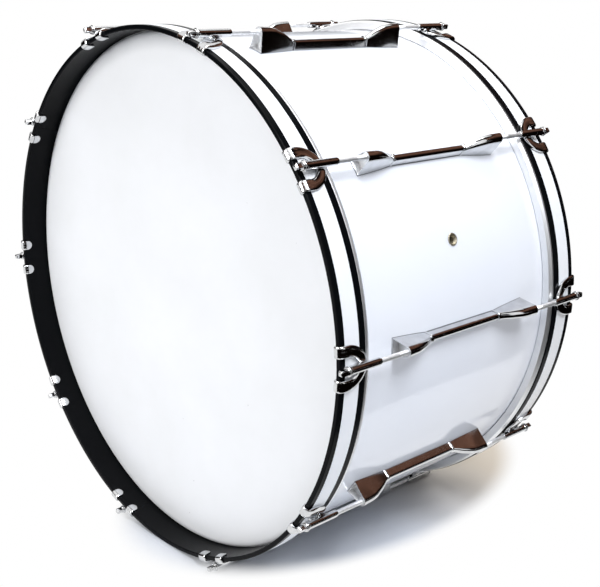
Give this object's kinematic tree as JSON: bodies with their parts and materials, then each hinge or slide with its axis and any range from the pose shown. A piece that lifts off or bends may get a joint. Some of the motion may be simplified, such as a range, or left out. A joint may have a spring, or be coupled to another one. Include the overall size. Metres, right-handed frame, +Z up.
{
  "type": "marching bass drum",
  "caption": "Wide, shallow marching bass drum: white gloss shell and heads, black hoops with white inlay, double-ended lugs, claw hooks and key-turned tension rods.",
  "frame": {"origin": "on the floor below the middle of the shell, where the drum lies on its two hoops", "axes": "+Z up, Y along the drum's axis with the head that faces the viewer towards -Y, +X to the right of that head"},
  "size_m": [0.718, 0.442, 0.688],
  "materials": {
    "white_wrap": "plywood under a high-gloss white wrap",
    "black_lacquer": "maple hoop in black gloss lacquer",
    "white_inlay": "gloss plastic strip",
    "aluminium": "bright drawn aluminium",
    "white_film": "smooth white polyester film, satin",
    "chrome": "mirror chrome plate on die-cast zinc and steel"
  },
  "bodies": {
    "drum": {"shell": "white_wrap", "vent_grommet": "chrome", "hoop_front": "black_lacquer", "hoop_inlay_front": "white_inlay", "flesh_hoop_front": "aluminium", "drumhead_front": "white_film", "hoop_rear": "black_lacquer", "hoop_inlay_rear": "white_inlay", "flesh_hoop_rear": "aluminium", "drumhead_rear": "white_film", "lug_01": "chrome", "lug_02": "chrome", "lug_03": "chrome", "lug_04": "chrome", "lug_05": "chrome", "lug_06": "chrome", "lug_07": "chrome", "lug_08": "chrome", "lug_09": "chrome", "lug_10": "chrome", "claw_front_01": "chrome", "claw_front_02": "chrome", "claw_front_03": "chrome", "claw_front_04": "chrome", "claw_front_05": "chrome", "claw_front_06": "chrome", "claw_front_07": "chrome", "claw_front_08": "chrome", "claw_front_09": "chrome", "claw_front_10": "chrome", "claw_rear_01": "chrome", "claw_rear_02": "chrome", "claw_rear_03": "chrome", "claw_rear_04": "chrome", "claw_rear_05": "chrome", "claw_rear_06": "chrome", "claw_rear_07": "chrome", "claw_rear_08": "chrome", "claw_rear_09": "chrome", "claw_rear_10": "chrome"},
    "tension_rod_front_01": {"tension_rod_front_01": "chrome"},
    "tension_rod_front_02": {"tension_rod_front_02": "chrome"},
    "tension_rod_front_03": {"tension_rod_front_03": "chrome"},
    "tension_rod_front_04": {"tension_rod_front_04": "chrome"},
    "tension_rod_front_05": {"tension_rod_front_05": "chrome"},
    "tension_rod_front_06": {"tension_rod_front_06": "chrome"},
    "tension_rod_front_07": {"tension_rod_front_07": "chrome"},
    "tension_rod_front_08": {"tension_rod_front_08": "chrome"},
    "tension_rod_front_09": {"tension_rod_front_09": "chrome"},
    "tension_rod_front_10": {"tension_rod_front_10": "chrome"},
    "tension_rod_rear_01": {"tension_rod_rear_01": "chrome"},
    "tension_rod_rear_02": {"tension_rod_rear_02": "chrome"},
    "tension_rod_rear_03": {"tension_rod_rear_03": "chrome"},
    "tension_rod_rear_04": {"tension_rod_rear_04": "chrome"},
    "tension_rod_rear_05": {"tension_rod_rear_05": "chrome"},
    "tension_rod_rear_06": {"tension_rod_rear_06": "chrome"},
    "tension_rod_rear_07": {"tension_rod_rear_07": "chrome"},
    "tension_rod_rear_08": {"tension_rod_rear_08": "chrome"},
    "tension_rod_rear_09": {"tension_rod_rear_09": "chrome"},
    "tension_rod_rear_10": {"tension_rod_rear_10": "chrome"}
  },
  "joints": [
    {"name": "tension_rod_front_01_turn", "type": "hinge", "parent": "drum", "child": "tension_rod_front_01", "pos_m": [0.10908, -0.1675, 0.67972], "axis": [0, 1, 0], "continuous": true},
    {"name": "tension_rod_front_02_turn", "type": "hinge", "parent": "drum", "child": "tension_rod_front_02", "pos_m": [0.28558, -0.1675, 0.55149], "axis": [0, 1, 0], "continuous": true},
    {"name": "tension_rod_front_03_turn", "type": "hinge", "parent": "drum", "child": "tension_rod_front_03", "pos_m": [0.353, -0.1675, 0.344], "axis": [0, 1, 0], "continuous": true},
    {"name": "tension_rod_front_04_turn", "type": "hinge", "parent": "drum", "child": "tension_rod_front_04", "pos_m": [0.28558, -0.1675, 0.13651], "axis": [0, 1, 0], "continuous": true},
    {"name": "tension_rod_front_05_turn", "type": "hinge", "parent": "drum", "child": "tension_rod_front_05", "pos_m": [0.10908, -0.1675, 0.00828], "axis": [0, 1, 0], "continuous": true},
    {"name": "tension_rod_front_06_turn", "type": "hinge", "parent": "drum", "child": "tension_rod_front_06", "pos_m": [-0.10908, -0.1675, 0.00828], "axis": [0, 1, 0], "continuous": true},
    {"name": "tension_rod_front_07_turn", "type": "hinge", "parent": "drum", "child": "tension_rod_front_07", "pos_m": [-0.28558, -0.1675, 0.13651], "axis": [0, 1, 0], "continuous": true},
    {"name": "tension_rod_front_08_turn", "type": "hinge", "parent": "drum", "child": "tension_rod_front_08", "pos_m": [-0.353, -0.1675, 0.344], "axis": [0, 1, 0], "continuous": true},
    {"name": "tension_rod_front_09_turn", "type": "hinge", "parent": "drum", "child": "tension_rod_front_09", "pos_m": [-0.28558, -0.1675, 0.55149], "axis": [0, 1, 0], "continuous": true},
    {"name": "tension_rod_front_10_turn", "type": "hinge", "parent": "drum", "child": "tension_rod_front_10", "pos_m": [-0.10908, -0.1675, 0.67972], "axis": [0, 1, 0], "continuous": true},
    {"name": "tension_rod_rear_01_turn", "type": "hinge", "parent": "drum", "child": "tension_rod_rear_01", "pos_m": [0.10908, 0.1675, 0.67972], "axis": [0, -1, 0], "continuous": true},
    {"name": "tension_rod_rear_02_turn", "type": "hinge", "parent": "drum", "child": "tension_rod_rear_02", "pos_m": [0.28558, 0.1675, 0.55149], "axis": [0, -1, 0], "continuous": true},
    {"name": "tension_rod_rear_03_turn", "type": "hinge", "parent": "drum", "child": "tension_rod_rear_03", "pos_m": [0.353, 0.1675, 0.344], "axis": [0, -1, 0], "continuous": true},
    {"name": "tension_rod_rear_04_turn", "type": "hinge", "parent": "drum", "child": "tension_rod_rear_04", "pos_m": [0.28558, 0.1675, 0.13651], "axis": [0, -1, 0], "continuous": true},
    {"name": "tension_rod_rear_05_turn", "type": "hinge", "parent": "drum", "child": "tension_rod_rear_05", "pos_m": [0.10908, 0.1675, 0.00828], "axis": [0, -1, 0], "continuous": true},
    {"name": "tension_rod_rear_06_turn", "type": "hinge", "parent": "drum", "child": "tension_rod_rear_06", "pos_m": [-0.10908, 0.1675, 0.00828], "axis": [0, -1, 0], "continuous": true},
    {"name": "tension_rod_rear_07_turn", "type": "hinge", "parent": "drum", "child": "tension_rod_rear_07", "pos_m": [-0.28558, 0.1675, 0.13651], "axis": [0, -1, 0], "continuous": true},
    {"name": "tension_rod_rear_08_turn", "type": "hinge", "parent": "drum", "child": "tension_rod_rear_08", "pos_m": [-0.353, 0.1675, 0.344], "axis": [0, -1, 0], "continuous": true},
    {"name": "tension_rod_rear_09_turn", "type": "hinge", "parent": "drum", "child": "tension_rod_rear_09", "pos_m": [-0.28558, 0.1675, 0.55149], "axis": [0, -1, 0], "continuous": true},
    {"name": "tension_rod_rear_10_turn", "type": "hinge", "parent": "drum", "child": "tension_rod_rear_10", "pos_m": [-0.10908, 0.1675, 0.67972], "axis": [0, -1, 0], "continuous": true}
  ]
}
